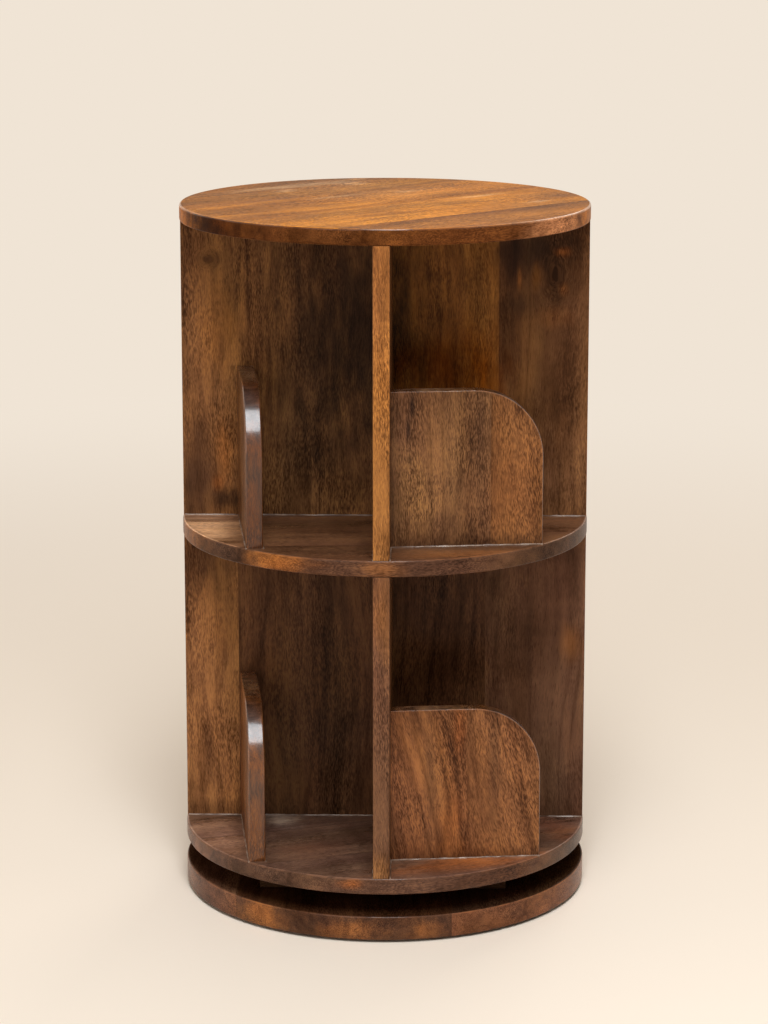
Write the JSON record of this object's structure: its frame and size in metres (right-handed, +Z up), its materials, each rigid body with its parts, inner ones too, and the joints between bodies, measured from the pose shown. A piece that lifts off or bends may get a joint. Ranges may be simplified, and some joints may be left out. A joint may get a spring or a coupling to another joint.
{
  "type": "revolving bookcase",
  "caption": "Round revolving bookcase in stained wood: disc shelves on crossed walls, low bookends with a rounded corner, turning on a ball bearing over a disc base.",
  "frame": {"origin": "on the turning axis at floor level, under the felt pads", "axes": "+Z up along the turning axis, front towards -Y, cross wall along X"},
  "size_m": [0.4, 0.4, 0.6862],
  "materials": {
    "top_wood": "stained, satin lacquer",
    "shelf_wood": "stained, satin lacquer",
    "wall_wood": "stained, satin lacquer",
    "bookend_wood": "stained, satin lacquer",
    "base_wood": "stained, satin lacquer",
    "block_wood": "dark stain, unpolished",
    "dowel_birch": "plain",
    "zinc_steel": "zinc plated",
    "ball_steel": "polished",
    "cage_plastic": "moulded",
    "pad_felt": "felt"
  },
  "bodies": {
    "base": {"base_disc": "base_wood", "packing_block": "block_wood", "felt_pad_1": "pad_felt", "felt_pad_2": "pad_felt", "felt_pad_3": "pad_felt", "felt_pad_4": "pad_felt", "swivel_lower_plate": "zinc_steel", "lower_plate_screw_1": "zinc_steel", "lower_plate_screw_2": "zinc_steel", "lower_plate_screw_3": "zinc_steel", "lower_plate_screw_4": "zinc_steel"},
    "ball_ring": {"swivel_ball_cage": "cage_plastic", "swivel_ball_01": "ball_steel", "swivel_ball_02": "ball_steel", "swivel_ball_03": "ball_steel", "swivel_ball_04": "ball_steel", "swivel_ball_05": "ball_steel", "swivel_ball_06": "ball_steel", "swivel_ball_07": "ball_steel", "swivel_ball_08": "ball_steel", "swivel_ball_09": "ball_steel", "swivel_ball_10": "ball_steel", "swivel_ball_11": "ball_steel", "swivel_ball_12": "ball_steel"},
    "cabinet": {"swivel_upper_plate": "zinc_steel", "upper_plate_screw_1": "zinc_steel", "upper_plate_screw_2": "zinc_steel", "upper_plate_screw_3": "zinc_steel", "upper_plate_screw_4": "zinc_steel", "bottom_shelf": "shelf_wood", "lower_cross_wall": "wall_wood", "lower_front_divider": "wall_wood", "lower_back_divider": "wall_wood", "lower_front_divider_dowel": "dowel_birch", "lower_back_divider_dowel": "dowel_birch", "lower_bookend_front_right": "bookend_wood", "lower_bookend_back_right": "bookend_wood", "lower_bookend_back_left": "bookend_wood", "lower_bookend_front_left": "bookend_wood", "lower_bookend_front_right_dowel": "dowel_birch", "lower_bookend_back_right_dowel": "dowel_birch", "lower_bookend_back_left_dowel": "dowel_birch", "lower_bookend_front_left_dowel": "dowel_birch", "middle_shelf": "shelf_wood", "upper_cross_wall": "wall_wood", "upper_front_divider": "wall_wood", "upper_back_divider": "wall_wood", "upper_front_divider_dowel": "dowel_birch", "upper_back_divider_dowel": "dowel_birch", "upper_bookend_front_right": "bookend_wood", "upper_bookend_back_right": "bookend_wood", "upper_bookend_back_left": "bookend_wood", "upper_bookend_front_left": "bookend_wood", "upper_bookend_front_right_dowel": "dowel_birch", "upper_bookend_back_right_dowel": "dowel_birch", "upper_bookend_back_left_dowel": "dowel_birch", "upper_bookend_front_left_dowel": "dowel_birch", "top_panel": "top_wood"}
  },
  "joints": [
    {"name": "cabinet_turn", "type": "hinge", "parent": "base", "child": "cabinet", "pos_m": [0, 0, 0.0439], "axis": [0, 0, 1], "continuous": true},
    {"name": "ball_ring_turn", "type": "hinge", "parent": "base", "child": "ball_ring", "pos_m": [0, 0, 0.0439], "axis": [0, 0, 1], "continuous": true}
  ],
  "couplings": [
    {"joint": "ball_ring_turn", "follows": "cabinet_turn", "ratio": 0.5}
  ]
}
